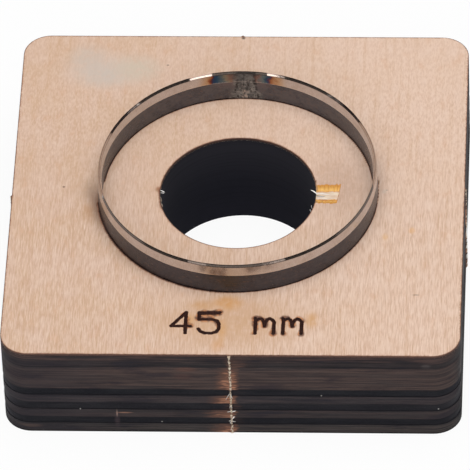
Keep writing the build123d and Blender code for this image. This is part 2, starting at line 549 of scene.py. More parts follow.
def rule_faces(angles, rows):
    """The ring's faces, and the material of each: 0 for the body, 1 for a flank, 2 for the edge."""
    faces, zones = [], []
    tip_row = rows // 2
    stops = np.append(angles, angles[0] + 2 * math.pi)
    for column, (angle, following_angle) in enumerate(zip(stops, stops[1:])):
        in_notch = abs(math.sin((angle + following_angle) / 2)) * RULE_R < NOTCH_HALF_WIDTH
        here, after = column * rows, (column + 1) % len(angles) * rows
        for row in range(rows):
            if in_notch and row in (0, rows - 2, rows - 1):
                continue
            following = (row + 1) % rows
            faces.append((here + row, after + row, after + following, here + following))
            from_tip = min(abs(row - tip_row), abs(row + 1 - tip_row))
            zones.append(2 if from_tip == 0 else 1 if from_tip <= 2 else 0)
        if in_notch:
            faces.append((here + 1, here + rows - 2, after + rows - 2, after + 1))
            zones.append(0)
        if on_notch_side(angle):
            faces.append((here, here + 1, here + rows - 2, here + rows - 1))
            zones.append(0)
    return faces, zones


def make_cutting_rule(body, flank, edge):
    """The bent rule: straight body, ground flanks, sharp edge, dressed weld and bridge notches."""
    angles = rule_angles()
    section = rule_section()
    vertices = [rule_point(angle, offset, z) for angle in angles for offset, z in section]
    faces, zones = rule_faces(angles, len(section))
    piece = add_piece("cutting_rule_ground", vertices, faces, [body, flank, edge], 12)
    piece.data.polygons.foreach_set("material_index", zones)
    clean_mesh(piece)
    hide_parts("cutting_rule")


# Torn fibres

# Slivers at the chip and at the hole's rims: start, end, sag, then width and height
CHIP_FLOOR_Z = VENEER_FLOOR_Z + 0.16
RIM_Z = TOP_Z - 0.03
HOLE_SLIVERS = (
    ((12.95, -0.02, CHIP_FLOOR_Z), (11.8, 0.85, CHIP_FLOOR_Z + 0.22), (0.05, 0.1, 0.03), (0.24, 0.1)),
    ((12.75, 0.25, CHIP_FLOOR_Z), (15.0, -0.1, CHIP_FLOOR_Z + 0.02), (0, 0.06, 0.04), (0.2, 0.1)),
    ((12.75, -0.55, CHIP_FLOOR_Z), (14.2, -0.62, CHIP_FLOOR_Z + 0.01), (0, 0.03, 0.02), (0.16, 0.08)),
    ((13.0, -0.95, CHIP_FLOOR_Z), (15.2, -1.12, CHIP_FLOOR_Z), (0, 0.03, 0.05), (0.13, 0.08)),
    ((12.25, -2.45, 16.6), (12.05, -2.4, 17.55), (-0.1, 0, 0), (0.16, 0.08)),
    ((12.1, -3.4, 16.9), (11.85, -3.2, 17.4), (-0.08, 0, 0), (0.14, 0.07)),
    ((-12.85, 0.5, RIM_Z), (-11.95, 0.05, RIM_Z - 0.1), (0, 0.08, -0.02), (0.17, 0.08)),
    ((-12.75, 0.0, RIM_Z - 0.1), (-12.1, 0.0, RIM_Z - 0.2), (0.05, 0, 0), (0.14, 0.08)),
)
LEFT_RIM_SLIVERS = 9

# Short fibres on each nick, and longer wisps by height, sideways reach and drop
NICK_FIBRES = 60
NICK_WISPS = ((9.3, 0.85, 1.75), (9.15, -0.15, 1.2), (8.6, -0.3, 0.7), (6.4, 0.3, 0.6), (6.2, -0.2, 0.5),
              (5.1, 0.7, 0.3), (5.0, -0.75, -0.1), (3.3, -0.55, -0.5), (3.1, -0.3, -0.75), (2.9, 0.5, 0.2),
              (2.8, -0.65, 0.25), (2.7, 0.35, 0.6), (1.1, 0.25, 0.5))


class Slivers:
    """Slivers of torn wood, gathered into one mesh."""

    def __init__(self):
        self.points, self.faces = [], []

    def add(self, start, end, sag, size, steps=6, turn=Matrix.Identity(3)):
        """A sliver from start to end that bows by sag, pointed at both ends and then turned. Its
        size is its width and its height."""
        start, end, sag = Vector(start), Vector(end), Vector(sag)
        path = [turn @ (start.lerp(end, i / steps) + sag * math.sin(math.pi * i / steps))
                for i in range(steps + 1)]
        first = len(self.points)
        for i, middle in enumerate(path):
            ahead = path[min(i + 1, steps)] - path[max(i - 1, 0)]
            side = Vector((-ahead.y, ahead.x, 0))
            side = side.normalized() if side.length > 1e-6 else Vector((1, 0, 0))
            up = ahead.cross(side).normalized()
            taper = max(0.06, math.sin(math.pi * (i + 0.35) / (steps + 0.7)))
            across, over = side * size[0] / 2 * taper, up * size[1] / 2 * taper
            self.points += [tuple(middle + edge) for edge in (-across, over, across, -over)]
        for i in range(steps):
            for k in range(4):
                a, b = first + 4 * i + k, first + 4 * i + (k + 1) % 4
                self.faces.append((a, b, b + 4, a + 4))
        last = first + 4 * steps
        self.faces.append((first + 3, first + 2, first + 1, first))
        self.faces.append((last, last + 1, last + 2, last + 3))


def make_chip_fibres(material):
    """The torn fibres that cover the chip's floor, with a crack between them."""
    low, high = CHIP_FRONT_Y + CHIP_SLOPE - 0.12, CHIP_BACK_Y - CHIP_SLOPE + 0.12
    xs = np.arange(math.sqrt(HOLE_R ** 2 - low ** 2) + 0.02, CHIP_END_X - 0.02, CHIP_STEP)
    x, y = np.meshgrid(xs, np.arange(low, high, CHIP_STEP), indexing="ij")
    x = np.where(np.hypot(x, y) < HOLE_R + 0.02, np.sqrt((HOLE_R + 0.02) ** 2 - y ** 2), x)
    x = np.minimum(x, chip_end(y) - 0.03)
    ridges = value_noise(y * 6, x * 0.5, 61) * 0.6 + value_noise(y * 14, x * 1.1, 62) * 0.4
    crack_y = -0.2 - 0.12 * (x - HOLE_R)
    crack_width = 0.19 - 0.1 * (x - HOLE_R)
    crack = 1 - smooth(0.3 * crack_width, crack_width + 0.02, np.abs(y - crack_y))
    crack *= 1 - smooth(1.2, 1.75, x - HOLE_R)
    height = 0.04 + 0.13 * ridges
    height = np.where(crack > 0, height * (1 - crack) + 0.012 * crack, height)
    top = np.column_stack([x.ravel(), y.ravel(), VENEER_FLOOR_Z + height.ravel()])
    bottom = top.copy()
    bottom[:, 2] = VENEER_FLOOR_Z + 0.002
    count = len(top)
    ids = np.arange(count).reshape(x.shape)
    quads = np.stack([ids[:-1, :-1], ids[1:, :-1], ids[1:, 1:], ids[:-1, 1:]], axis=2).reshape(-1, 4)
    border = [*ids[:, 0], *ids[-1, 1:], *ids[-2::-1, -1], *ids[0, -2:0:-1]]
    faces = [*quads, *(quads[:, ::-1] + count)]
    faces += [(a, a + count, b + count, b) for a, b in zip(border, border[1:] + border[:1])]
    _, back_foot, front_foot, _ = chip_edges(x)
    gold = np.maximum(smooth(-0.36, -0.16, y - back_foot), 1 - smooth(0.1, 0.25, y - front_foot))
    # The crack value also carries the painted shade in the crack
    piece = add_piece("chip_floor_fibres", np.vstack([top, bottom]), faces, [material], 50,
                      {"crack": np.tile(crack.ravel(), 2), "soot": np.zeros(2 * count),
                       "gold": np.tile(gold.ravel(), 2)})
    clean_mesh(piece)


def make_splinters(material):
    """Slivers that stand out of the chip and of the hole's left rim."""
    slivers = Slivers()
    for start, end, sag, size in HOLE_SLIVERS:
        slivers.add(start, end, sag, size)
    for _ in range(LEFT_RIM_SLIVERS):
        y = -1.0 - 2.0 * rng.random()
        x = -math.sqrt(HOLE_R ** 2 - y * y)
        drop = 0.3 + 0.5 * rng.random()
        end = (x + 0.12 + 0.15 * rng.random(), y - 0.2 * rng.random(), RIM_Z - drop)
        slivers.add((x + 0.02, y, RIM_Z - 0.05), end, (0.05, 0, 0), (0.1, 0.05), 4)
    x, y, _ = np.array(slivers.points).T
    soot = np.where((x < 0) & (y < -0.7), 0.1 + 0.5 * value_noise(x * 3, y * 3, 81), -0.3)
    add_piece("hole_splinters", slivers.points, slivers.faces, [material], 60,
              {"crack": np.zeros(len(x)), "soot": soot})


def make_nick_fibres(material):
    """Ragged pale fibres on the snapped nicks, down all four sides of the block."""
    slivers = Slivers()
    soot = []
    limit = HALF_SIDE + NICK_HEIGHT
    crest = limit - 0.05
    for quarter, middle in enumerate(TURNED_NICKS):
        turn = Matrix.Rotation(math.pi / 2 * quarter, 3, "Z")
        for _ in range(NICK_FIBRES):
            z = 0.25 + (TOP_Z - 0.6) * rng.random()
            along = middle + rng.gauss(0, 0.07)
            length = 0.15 + 0.5 * rng.random() ** 2
            end = (crest - 0.06 * rng.random(), along + rng.gauss(0, 0.1), min(z + length, TOP_Z - 0.04))
            sag = (0, rng.gauss(0, 0.03), 0)
            width = 0.12 + 0.08 * rng.random()
            slivers.add((crest - 0.12, along, z), end, sag, (width, 0.07), 3, turn)
            soot += [0.6 * rng.random() ** 3 - 0.15 * (z > 8)] * (len(slivers.points) - len(soot))
        for z, side, reach in NICK_WISPS:
            end = (HALF_SIDE + 0.06, middle - side, z - reach)
            slivers.add((crest - 0.05, middle, z), end, (0.06, 0, 0.12 * reach), (0.2, 0.09), 5, turn)
            soot += [-0.3] * (len(slivers.points) - len(soot))
    add_piece("nick_fibres", np.clip(slivers.points, -limit, limit), slivers.faces, [material],
              60, {"crack": np.zeros(len(soot)), "soot": soot})


# Node trees. A colour in them is a node's output, or screen values from 0 to 255 for red, green and
# blue, or four linear values.

def linear(colour):
    """Screen values from 0 to 255 as the linear values that Blender works with."""
    shares = [value / 255 for value in colour]
    return tuple(s / 12.92 if s <= 0.04045 else ((s + 0.055) / 1.055) ** 2.4 for s in shares) + (1.0,)


class Wire:
    """A node's output. Its sums, differences, products and abs() each add a Math node to the tree."""

    def __init__(self, tree, socket):
        self.tree, self.socket = tree, socket

    def __add__(self, other):
        return self.tree.math("ADD", self, other)

    def __sub__(self, other):
        return self.tree.math("SUBTRACT", self, other)

    def __rsub__(self, other):
        return self.tree.math("SUBTRACT", other, self)

    def __mul__(self, other):
        return self.tree.math("MULTIPLY", self, other)

    def __abs__(self):
        return self.tree.math("ABSOLUTE", self)

    def between(self, low, high, to_low=0.0, to_high=1.0):
        """Its S-shaped way from low to high, as a number from to_low to to_high."""
        inputs = dict(enumerate((self, low, high, to_low, to_high)))
        return self.tree.add("MapRange", inputs, interpolation_type="SMOOTHSTEP")


class Tree:
    """The node tree of a world or a material, emptied, with short ways to add to it."""

    def __init__(self, owner, output):
        owner.use_nodes = True
        self.nodes, self.links = owner.node_tree.nodes, owner.node_tree.links
        self.nodes.clear()
        self.surface = self.nodes.new(output).inputs["Surface"]

    def feed(self, socket, value):
        """Link an output to the socket, or set the socket's own number, vector or colour."""
        if isinstance(value, Wire):
            self.links.new(value.socket, socket)
        elif socket.type == "RGBA" and len(value) == 3:
            socket.default_value = linear(value)
        else:
            socket.default_value = value

    def add(self, kind, inputs, output=0, **settings):
        """A node with its settings and inputs, given as the one of its outputs that is used."""
        node = self.nodes.new("ShaderNode" + kind)
        for name, value in settings.items():
            setattr(node, name, value)
        for key, value in inputs.items():
            self.feed(node.inputs[key], value)
        return Wire(self, node.outputs[output])

    def show(self, shader):
        self.feed(self.surface, shader)

    def math(self, operation, *values):
        return self.add("Math", dict(enumerate(values)), operation=operation)

    def larger(self, first, second):
        return self.math("MAXIMUM", first, second)

    def smaller(self, first, second):
        return self.math("MINIMUM", first, second)

    def screen_share(self):
        """1 for rays from the camera and for glossy and see-through rays, 0 for the rest."""
        camera = self.add("LightPath", {}, "Is Camera Ray")
        glossy = self.add("LightPath", {}, "Is Glossy Ray")
        return self.larger(self.larger(camera, glossy), self.add("LightPath", {}, "Is Transmission Ray"))


class Graph(Tree):
    """The node tree of one of the die's materials, with places in millimetres."""

    def __init__(self, name):
        self.material = bpy.data.materials.new(name)
        super().__init__(self.material, "ShaderNodeOutputMaterial")
        self.normal = None
        self.place = self.vector("MULTIPLY", self.add("TexCoord", {}, "Object"), (1 / MM, 1 / MM, 1 / MM))
        self.x, self.y, self.z = self.split(self.place)
        parts = self.split(self.add("NewGeometry", {}, "Normal"))
        self.facing_x, self.facing_y, self.facing_z = [abs(part) for part in parts]

    def vector(self, operation, first, second):
        return self.add("VectorMath", {0: first, 1: second}, "Vector", operation=operation)

    def length(self, vector):
        return self.add("VectorMath", {0: vector}, "Value", operation="LENGTH")

    def split(self, vector):
        node = self.nodes.new("ShaderNodeSeparateXYZ")
        self.feed(node.inputs[0], vector)
        return [Wire(self, output) for output in node.outputs]

    def radius(self):
        """Distance from the die's axis."""
        return self.length(self.vector("MULTIPLY", self.place, (1, 1, 0)))

    def reach(self):
        """The larger of x and y without their signs, the same all along the board's sides."""
        return self.larger(abs(self.x), abs(self.y))

    def distance(self, centre, radii):
        """Distance from a centre, measured in radii of its own along each axis."""
        place = self.vector("SUBTRACT", self.place, centre)
        return self.length(self.vector("MULTIPLY", place, tuple(1 / radius for radius in radii)))

    def noise(self, stretch, shift=0.0, detail=3.0, roughness=0.6):
        """Noise from about 0.2 to 0.8, with stretch cells to the millimetre along each axis."""
        place = self.vector("ADD", self.vector("MULTIPLY", self.place, stretch), (shift, shift * 0.7, 0))
        inputs = {"Vector": place, "Scale": 1.0, "Detail": detail, "Roughness": roughness}
        return self.add("TexNoise", inputs, "Fac")

    def mix(self, share, first, second):
        """The first colour, with a share of the second."""
        return self.add("Mix", {0: share, 6: first, 7: second}, 2, data_type="RGBA")

    def coats(self, colour, *coats):
        """A colour with coats laid over it in turn, each with its share and its colour. A share may be
        given as a value, its low and its high, and the most that the share gets to if that is not 1."""
        for share, coat in coats:
            if isinstance(share, tuple):
                value, low, high, *most = share
                share = value.between(low, high, 0.0, *most)
            colour = self.mix(share, colour, coat)
        return colour

    def ramp(self, value, stops):
        """A colour for each value, from (value, colour) stops between 0 and 1."""
        node = self.nodes.new("ShaderNodeValToRGB")
        elements = node.color_ramp.elements
        while len(elements) < len(stops):
            elements.new(1.0)
        for element, (position, colour) in zip(elements, stops):
            element.position = position
            element.color = linear(colour)
        self.feed(node.inputs[0], value)
        return Wire(self, node.outputs[0])

    def attribute(self, name):
        return self.add("Attribute", {}, "Fac", attribute_name=name)

    def bump(self, height, depth, strength=1.0):
        """A bump of that depth in millimetres."""
        inputs = {"Strength": strength, "Distance": depth * MM, "Height": height}
        self.normal = self.add("Bump", inputs, "Normal")

    def finish(self, colour, roughness, metallic=0.0, specular=0.5):
        """Give the surface its shader, and return the material."""
        inputs = {"Base Color": colour, "Roughness": roughness, "Metallic": metallic,
                  "Specular IOR Level": specular}
        if self.normal:
            inputs["Normal"] = self.normal
        self.show(self.add("BsdfPrincipled", inputs))
        return self.material


# Materials

# Marks on the veneer: centre, radii, colour, strength. Most are stains and scorches; some are painted shade
# in and beside the ring, as noted.
VENEER_STAINS_AND_SHADE = (
    # Painted shade: the whole inside of the ring a little darker, as if shaded by the rule
    ((0.0, 0.0), (24.0, 24.0), (206, 172, 148), 0.3),
    # A darker patch over the inside of the ring's right side
    ((16.5, 2.0), (7.5, 10.0), (194, 161, 140), 0.6),
    # Brown soot with painted shade beside the outside of the ring's left side, in this entry and the next
    ((-25.2, 0.3), (2.6, 4.5), (200, 170, 148), 0.4),
    ((-24.1, 0.2), (1.6, 4.4), (178, 148, 126), 0.6),
    ((-24.3, -4.8), (1.7, 3.0), (196, 150, 112), 0.6),
    ((-22.95, -2.9), (0.22, 0.8), (60, 38, 30), 0.95),
    ((22.88, 2.6), (0.3, 0.8), (116, 94, 62), 1.0),
    ((23.9, 0.5), (0.7, 0.8), (214, 194, 178), 0.7),
    ((24.3, 0.8), (0.26, 0.18), (104, 80, 70), 0.7),
    ((-22.4, 28.8), (11.0, 6.0), (212, 193, 179), 0.7),
    ((-26.4, 31.6), (4.6, 4.8), (207, 190, 176), 0.7),
    ((-23.4, 27.6), (6.0, 4.4), (206, 192, 180), 0.75),
    ((-18.0, 29.0), (5.6, 4.4), (210, 194, 174), 0.75),
    ((28.6, -8.5), (0.8, 1.1), (226, 172, 112), 0.7),
    ((24.3, -10.0), (0.8, 1.2), (230, 182, 128), 0.6),
    ((-12.9, 30.0), (0.35, 0.22), (110, 80, 66), 0.8),
    ((-28.6, 1.1), (0.34, 0.28), (100, 72, 60), 0.9),
    ((29.6, -23.2), (0.8, 0.17), (104, 78, 62), 0.9),
    ((-0.6, 36.6), (0.5, 0.5), (48, 34, 30), 0.9),
    ((-24.7, -8.2), (0.14, 1.1), (240, 216, 198), 0.8),
    ((0.0, -29.5), (17.0, 8.5), (206, 165, 129), 0.75),
    ((-0.7, -25.2), (3.6, 2.6), (212, 156, 98), 0.85),
    ((-4.9, -25.9), (2.8, 1.6), (206, 156, 108), 0.7),
    ((-1.3, -31.5), (1.0, 4.0), (212, 160, 106), 0.65),
    ((-6.6, -29.2), (1.2, 2.2), (214, 164, 108), 0.6),
    ((13.0, -29.0), (1.7, 2.6), (212, 162, 110), 0.75),
    ((-2.0, -35.0), (1.6, 2.4), (212, 154, 100), 0.5),
    ((-13.2, 0.7), (0.6, 0.9), (150, 88, 44), 0.85),
    ((-12.95, 0.3), (0.35, 0.7), (66, 40, 28), 0.9),
)

# How far below the veneer's face its stains and painted shade reach, and behind the front face its scorches
STAIN_AND_SHADE_DEPTH = 10.0
SCORCH_DEPTH = 10 / 3


def face_wood():
    """Pale sliced veneer with fine grain along Y, scorched and charred where the laser passed, with painted
    light towards +X and painted shade in and beside the ring.
    """
    g = Graph("face_wood")
    frontward = g.y.between(24.0, -12.0)
    long_pores = g.noise((6.4, 0.5, 3), roughness=0.62)
    short_pores = g.noise((4.4, 1.2, 3), 71)
    pores = long_pores * frontward + short_pores * (1.0 - frontward)
    streaks = g.noise((1.3, 0.04, 1), 7)
    blotches = g.noise((0.14, 0.09, 1), 3, roughness=0.55)
    figure = g.noise((0.55, 0.3, 1), 19)
    veins = g.noise((3.6, 0.1, 2), 67, detail=2.0)
    crisp = g.y.between(HALF_SIDE, -8.0, 0.35, 0.72)
    wood = g.coats(
        (222, 190, 169),
        ((blotches, 0.36, 0.64), (218, 184, 158)),
        # Painted light: the veneer grows lighter towards +X, as if lit more from that side
        ((g.x, -HALF_SIDE, HALF_SIDE, 0.75), (235, 205, 185)),
        ((streaks, 0.5, 0.7, 0.4), (210, 172, 140)),
        (pores.between(0.42, 0.7) * crisp * 0.75, (192, 152, 122)),
        (pores.between(0.52, 0.3) * crisp * 0.6, (241, 218, 201)),
        (veins.between(0.56, 0.7, 0, 0.4) * frontward, (200, 160, 130)),
        ((figure, 0.5, 0.72, 0.3), (234, 207, 190)),
        ((figure, 0.44, 0.3, 0.3), (216, 172, 140)),
    )
    cloud = g.noise((1.1, 0.8, 1), 31).between(0.3, 0.6, 0.6)
    for centre, radii, colour, strength in VENEER_STAINS_AND_SHADE:
        patch = g.distance((*centre, TOP_Z), (*radii, STAIN_AND_SHADE_DEPTH)).between(1.0, 0.1)
        wood = g.mix(patch * cloud * strength, wood, colour)
    smoke = g.noise((0.9, 0.9, 1), 43, 2.0, 0.5)
    amber = g.mix(smoke.between(0.42, 0.58), (186, 122, 78), (100, 66, 54))
    radius = g.radius()
    # Brown soot with painted shade along the outside of the ring's left side
    kerf_soot_and_shade_left = (radius.between(KERF_OUTER_R - 0.3, KERF_OUTER_R - 0.1)
                    * radius.between(KERF_OUTER_R + 2.0, KERF_OUTER_R - 0.3)
                    * g.y.between(-11.0, -4.0) * g.y.between(2.0, -2.5) * g.x.between(0.0, -5.0))
    rim = g.attribute("rim")
    grit = g.noise((6, 6, 6), 5)
    groove = g.mix(grit.between(0.35, 0.65), (24, 9, 6), (56, 27, 19))
    side = g.coats(
        (66, 48, 45),
        ((g.z, VENEER_FLOOR_Z, TOP_Z), (116, 86, 74)),
        ((grit, 0.4, 0.7, 0.6), (46, 36, 37)),
        ((g.reach(), HALF_SIDE + 0.06, HALF_SIDE + 0.14, 0.85), (226, 204, 176)),
    )
    fibres = g.noise((7, 0.5, 1), 57, roughness=0.65)
    mouth = (radius + fibres.between(0.3, 0.7, -0.1, 0.1)).between(HOLE_R + 0.42, HOLE_R + 0.25)
    gold = g.coats(
        (246, 200, 118),
        ((g.z, VENEER_FLOOR_Z, TOP_Z - 0.05), (212, 148, 68)),
        ((fibres, 0.5, 0.7, 0.55), (186, 122, 56)),
        ((rim, 0.35, 0.9, 0.75), (140, 98, 68)),
        (mouth * 0.8, (184, 140, 104)),
    )
    wood = g.coats(
        wood,
        ((g.attribute("scorch"), 0.08, 0.7, 0.9), amber),
        (kerf_soot_and_shade_left * 0.85, (122, 84, 62)),
        ((rim, 0.06, 0.5, 0.75), (150, 100, 76)),
        ((rim, 0.4, 0.85, 0.9), (58, 38, 34)),
        ((g.attribute("char"), 0.2, 0.7), groove),
        ((g.facing_z, 0.6, 0.3), side),
        (g.attribute("tear"), gold),
    )
    g.bump(1.0 - (pores + streaks * 0.6), 0.02, 0.7)
    return g.finish(wood, pores.between(0.3, 0.7, 0.55, 0.72), specular=0.14)


def fresh_wood():
    """Torn, unburned fibres that run along X, with painted shade in the chip's crack."""
    g = Graph("torn_fibres")
    fibres = g.noise((0.6, 7, 4))
    soot = g.attribute("soot")
    gold = g.mix(fibres.between(0.4, 0.6), (236, 178, 100), (204, 140, 68))
    cream = g.coats(
        (238, 220, 198),
        ((fibres, 0.4, 0.64), (216, 184, 158)),
        ((soot, 0.0, -0.3), (255, 252, 246)),
        (g.attribute("gold"), gold),
        # Painted shade: the crack between the chip's fibres drawn dark
        (g.attribute("crack"), (54, 34, 22)),
        ((soot, 0, 1), (92, 74, 66)),
    )
    g.bump(fibres, 0.04)
    return g.finish(cream, fibres.between(0.3, 0.7, 0.62, 0.8), specular=0.2)


# Scorches on the front face: centre along X, height, radii, colour, strength
FRONT_MARKS = (
    (-7.1, 14.5, 2.2, 0.6, (104, 72, 62), 0.6),
    (-7.6, 12.8, 1.8, 0.9, (84, 60, 56), 0.5),
    (-18.5, 4.3, 0.14, 0.95, (178, 148, 134), 0.8),
    (-17.3, 4.45, 1.5, 0.16, (176, 130, 108), 0.75),
    (-18.5, 2.6, 0.5, 2.2, (74, 62, 66), 0.6),
    (-32.6, 1.3, 2.4, 0.5, (96, 78, 72), 0.6),
    (-24.4, 5.2, 0.12, 0.12, (220, 214, 208), 0.8),
    (-11.3, 2.3, 0.12, 0.12, (226, 220, 214), 0.8),
    (14.6, 8.6, 0.14, 0.12, (226, 220, 214), 0.8),
    (31.5, 15.6, 0.9, 0.5, (92, 82, 82), 0.45),
    (33.4, 5.6, 0.14, 0.14, (232, 228, 224), 0.8),
)


def nick_glow(g, ragged, reach):
    """Scorch beside the nicks, fading outwards: as wide as reach on one side, narrow on the other."""
    glow = 0.0
    for along, facing, middle in ((g.x, g.facing_y, NICKS["front"]), (g.y, g.facing_x, NICKS["right"])):
        offset = along - middle + ragged.between(0.3, 0.7, -0.45, 0.45)
        wide = offset.between(-1.5 * reach, 0.0)
        narrow = offset.between(4.0 / reach, 0.3)
        glow = g.larger(glow, wide * narrow * facing.between(0.4, 0.8))
    return glow * g.radius().between(34.0, 36.0)


def back_face(g, ragged):
    """The block's pale underside, browned where the laser came out along the cuts."""
    pores = g.noise((5.0, 0.5, 3), 83)
    radius = g.radius()
    on_bridge = abs(g.y).between(BRIDGE_WIDTH / 2 + 0.2, BRIDGE_WIDTH / 2 - 0.2)
    to_kerf = abs(radius - RULE_R) - RULE_THICKNESS / 2 + on_bridge * 3.0
    to_edge = g.smaller(HALF_SIDE - g.reach(), abs(radius - HOLE_R))
    nearest = g.smaller(to_edge, to_kerf) + ragged.between(0.3, 0.7, -0.15, 0.25)
    return g.coats(
        (216, 184, 158),
        ((pores, 0.4, 0.65), (188, 150, 122)),
        ((nearest, 1.6, 0.4, 0.7), (146, 100, 70)),
        ((nearest, 0.6, 0.1, 0.9), (52, 36, 31)),
    )


# Light, middle and dark tone of each core ply's cut edge, and the strength and reach of the scorch
# that the nicks left on it
PLY_TONES = {
    "core_ply_1": ((56, 48, 49), (43, 38, 40), (30, 28, 30), 0.35, 0.8),
    "core_ply_2": ((80, 65, 61), (63, 53, 52), (42, 38, 41), 0.9, 2.1),
    "core_ply_3": ((40, 38, 44), (31, 31, 37), (22, 23, 29), 0.1, 1.0),
    "core_ply_4": ((66, 57, 58), (52, 47, 50), (36, 35, 41), 1.0, 3.2),
    "core_ply_5": ((42, 39, 45), (36, 34, 40), (26, 26, 31), 0.2, 1.5),
    "core_ply_6": ((64, 54, 54), (53, 47, 48), (38, 36, 40), 1.0, 3.6),
    "core_ply_7": ((40, 38, 43), (31, 31, 36), (22, 22, 28), 0.15, 1.2),
    "back_ply": ((72, 64, 62), (53, 49, 49), (36, 35, 38), 0.9, 3.2),
}
END_GRAIN_PLIES = ("core_ply_3", "core_ply_5", "core_ply_7")


def charred_ply(node, tones, glow_strength, glow_reach):
    """Laser-cut edge of one ply: fibres show on the faces they run along, pores on the others. In the hole
    it is black char with painted shade that deepens downwards.
    """
    g = Graph("char_" + node)
    low, high = [corner.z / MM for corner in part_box(node)]
    light, middle, dark = tones
    lifted = tuple(1.45 * part for part in linear(light)[:3]) + (1.0,)
    rows = g.noise((0.03, 0.03, 2.5))
    threads = g.noise((0.11, 0.11, 4.6), 17, 4.0, 0.62)
    soot = g.noise((0.1, 0.1, 0.5), 11, 4.0)
    pores = g.noise((6.0, 6.0, 5.0), 23)
    fibre = g.coats(
        middle,
        ((rows, 0.4, 0.62), light),
        ((threads, 0.5, 0.62, 0.65), dark),
        ((threads, 0.42, 0.3, 0.55), lifted),
        ((soot, 0.52, 0.66, 0.55), (38, 37, 46)),
        ((g.x, -14.0, -33.0, 0.45), (40, 38, 46)),
    )
    across = g.facing_x if node in END_GRAIN_PLIES else g.facing_y
    to_glue = g.smaller(g.z - low, high - g.z) + threads.between(0.35, 0.65, 0.14, -0.16)
    colour = g.coats(
        dark,
        ((pores, 0.4, 0.7), middle),
        ((rows, 0.52, 0.68, 0.5), light),
        ((across, 0.35, 0.75), fibre),
        ((to_glue, 0.24, 0.02, 0.7), (27, 26, 31)),
    )
    if node == "core_ply_1":
        depth = high - g.z + soot.between(0.35, 0.65, -0.35, 0.35)
        upper = g.mix(threads.between(0.36, 0.56), (84, 64, 60), (46, 40, 42))
        colour = g.mix(depth.between(1.35, 0.7, 0, 0.85), colour, upper)
    if node == "back_ply":
        colour = g.mix(g.z.between(0.42, 0.22, 0, 0.8), colour, (24, 21, 23))
    nick_shadow = (g.x.between(0.13, 0.22) * g.x.between(0.5, 0.36)
                   * g.y.between(-33.0, -35.0) * g.z.between(10.5, 8.5))
    colour = g.mix(nick_shadow * 0.85, colour, (22, 20, 24))
    for along, height, width, reach, mark, strength in FRONT_MARKS:
        near = g.distance((along, -HALF_SIDE, height), (width, SCORCH_DEPTH, reach))
        patch = near.between(1.2, 0.3) * rows.between(0.3, 0.6, 0.4)
        colour = g.mix(patch * strength, colour, mark)
    ragged = g.noise((0.5, 0.5, 2.6), 29, 4.0, 0.65)
    streaky = g.noise((0.35, 0.35, 3.6), 53, 4.0, 0.65)
    low_part = g.z.between(high, (low + high) / 2, 0.55, 1.0)
    glow = nick_glow(g, ragged, glow_reach) * (low_part * glow_strength)
    glow = glow * streaky.between(0.36, 0.56, 1.0, 0.5)
    within = g.radius().between(18.0, 15.0)
    # Inside the hole: black char with painted shade, darker further down the hole
    hole_wall_char_and_shade = g.coats(
        (34, 34, 43),
        ((g.z, 5.0, TOP_Z), (52, 51, 58)),
        ((rows, 0.5, 0.62, 0.14), (13, 13, 18)),
    )
    broken = g.noise((1.5, 1.5, 2.3), 37, roughness=0.65)
    uneven_reach = g.reach() + broken.between(0.35, 0.65, 0.04, -0.08)
    cream = g.mix(broken.between(0.42, 0.56), (240, 226, 204), (140, 112, 92))
    colour = g.coats(
        colour,
        ((glow, 0, 0.4, 0.9), (100, 72, 62)),
        ((glow, 0.32, 0.85, 0.9), (182, 130, 102)),
        (within, hole_wall_char_and_shade),
        ((uneven_reach, HALF_SIDE + 0.1, HALF_SIDE + 0.17), cream),
    )
    level = g.facing_z.between(0.7, 0.9)
    if node == "core_ply_1":
        torn = g.mix(rows.between(0.4, 0.6), (248, 232, 204), (236, 200, 150))
        colour = g.mix(level, colour, torn)
    if node == "back_ply":
        colour = g.mix(level * g.z.between(0.3, 0.1), colour, back_face(g, broken))
    relief = rows * 0.8 + threads + pores * 0.5
    g.bump(relief * (1.0 - within * 0.96), 0.07, 0.9)
    rough = g.larger(soot.between(0.35, 0.65, 0.6, 0.85), within * 0.95)
    return g.finish(colour, rough, specular=0.14)


def weld_zone(g, ragged):
    """1 on the weld, which narrows from the board up to the edge, and 0 beside it."""
    reach = 2.35 - g.z.between(TOP_Z, RULE_TOP_Z) * 0.7
    spread = abs(g.x - WELD_SHIFT) + ragged.between(0.35, 0.65, -0.4, 0.4) - reach
    return g.y.between(20.0, 21.0) * spread.between(0.45, -0.45)


def weld_metal(g):
    """Grey, pitted weld with bright flecks that gather low in the middle, and a dark seam."""
    scale = g.noise((1.2, 1.2, 1.1), 13, 4.0, 0.65)
    flecks = g.noise((2.6, 2.6, 2.4), 9, roughness=0.65)
    middle = abs(g.x - 0.4).between(1.6, 0.2)
    gather = middle * g.z.between(FLANK_Z, TOP_Z + 0.8) * 0.09
    bright = (flecks + gather).between(0.6, 0.7)
    outline = abs(abs(g.x - WELD_SHIFT) - g.z.between(TOP_Z, FLANK_Z, 2.1, 1.5))
    outline = outline.between(0.4, 0.1) * scale.between(0.36, 0.56, 1.0, 0.3)
    seam = abs(g.x - 0.1).between(0.09, 0.02)
    metal = g.coats(
        (92, 97, 102),
        ((scale, 0.36, 0.64), (146, 151, 154)),
        (bright * middle * 0.85, (194, 186, 182)),
        ((flecks, 0.46, 0.38, 0.85), (58, 56, 58)),
        (outline * 0.8, (48, 46, 50)),
        (seam * 0.6, (44, 46, 50)),
    )
    return metal, flecks


